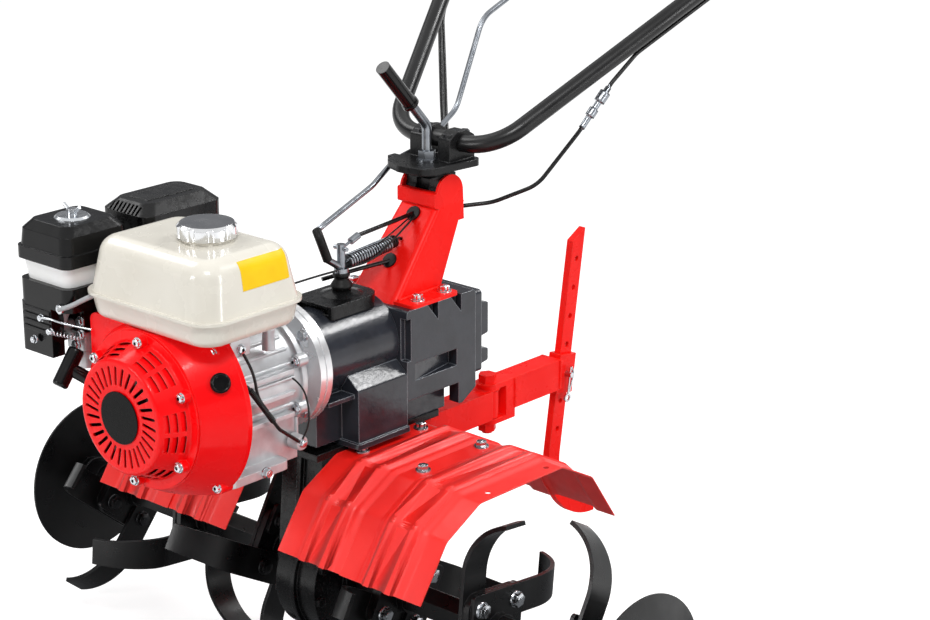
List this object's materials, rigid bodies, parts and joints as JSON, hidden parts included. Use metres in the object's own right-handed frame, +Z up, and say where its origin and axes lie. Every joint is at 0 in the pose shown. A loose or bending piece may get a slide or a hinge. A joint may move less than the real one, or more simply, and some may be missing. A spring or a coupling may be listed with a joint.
{
  "type": "walk-behind rotary tiller",
  "caption": "Walk-behind rotary tiller: petrol engine on a gearbox over a tine rotor with side discs, red fenders, adjustable handlebar and a swinging depth bar behind.",
  "frame": {"origin": "on the floor below the middle of the machine's overall length, on its mirror plane", "axes": "+X is the machine's left, -Y is forward towards the engine, +Z is up"},
  "size_m": [1.112, 1.2174, 1.0982],
  "materials": {
    "cast_aluminium": "satin",
    "red_paint": "gloss",
    "black_paint": "satin",
    "black_casting": "painted casting",
    "graphite_paint": "satin",
    "cream_paint": "gloss",
    "cream_plastic": "matte",
    "black_plastic": "matte",
    "cast_iron_black": "cast",
    "chrome": "polished",
    "zinc": "zinc plated",
    "rubber": "matte",
    "cable_black": "smooth"
  },
  "bodies": {
    "chassis": {"crankcase": "cast_aluminium", "cylinder_block": "cast_aluminium", "fan_shroud": "red_paint", "recoil_cover": "red_paint", "recoil_badge": "black_plastic", "stop_switch": "black_plastic", "starter_grip": "black_plastic", "fuel_tank": "cream_paint", "fuel_cap": "chrome", "air_cleaner_base": "black_plastic", "air_cleaner_band": "cream_plastic", "air_cleaner_cover": "black_plastic", "air_cleaner_nut": "zinc", "carburettor": "cast_aluminium", "choke_levers": "black_plastic", "muffler": "black_paint", "muffler_guard": "black_paint", "adapter_ring": "cast_aluminium", "clutch_housing": "graphite_paint", "gearbox_housing": "graphite_paint", "gear_case": "black_casting", "fender_inner_left": "red_paint", "fender_inner_right": "red_paint", "fender_outer_left": "red_paint", "fender_outer_right": "red_paint", "fender_stay_left": "black_paint", "fender_stay_right": "black_paint", "column": "red_paint", "shift_tower": "black_casting", "shift_boots": "rubber", "shift_lever": "zinc", "shift_rod_lower": "zinc", "return_spring": "zinc", "chassis_cables": "cable_black", "hitch_bracket": "red_paint"},
    "tine_rotor": {"rotor_shaft": "black_paint", "disc_left": "black_paint", "disc_right": "black_paint", "tines_inner_left": "black_paint", "tines_inner_right": "black_paint", "tines_middle_left": "black_paint", "tines_middle_right": "black_paint", "tines_outer_left": "black_paint", "tines_outer_right": "black_paint"},
    "column_head": {"column_head": "cast_iron_black", "shift_rod_middle": "zinc"},
    "handlebar": {"handlebar_head": "cast_iron_black", "handlebar_tube": "black_paint", "grip_left": "rubber", "grip_right": "rubber", "hand_levers": "black_paint", "clamp_lever": "zinc", "clamp_grip": "black_plastic", "shift_rod_upper": "zinc", "shift_knob": "black_plastic", "clutch_cable": "cable_black", "control_cables": "cable_black"},
    "hitch": {"drawbar": "red_paint", "hitch_pin": "zinc", "depth_bar": "red_paint"}
  },
  "joints": [
    {"name": "rotor_turn", "type": "hinge", "parent": "chassis", "child": "tine_rotor", "pos_m": [0, -0.21574, 0.17546], "axis": [1, 0, 0], "continuous": true},
    {"name": "handlebar_height", "type": "hinge", "parent": "chassis", "child": "column_head", "pos_m": [0, -0.02274, 0.69746], "axis": [1, 0, 0], "range_deg": [-12, 16], "deforming": ["shift_rod_lower"]},
    {"name": "handlebar_swivel", "type": "hinge", "parent": "column_head", "child": "handlebar", "pos_m": [0, -0.03174, 0.73146], "axis": [0, 0, 1], "range_deg": [-30, 30], "deforming": ["shift_rod_middle", "clutch_cable", "control_cables"]},
    {"name": "drawbar_swing", "type": "hinge", "parent": "chassis", "child": "hitch", "pos_m": [0, 0.09826, 0.34296], "axis": [0, 0, 1], "range_deg": [-15, 15]}
  ]
}
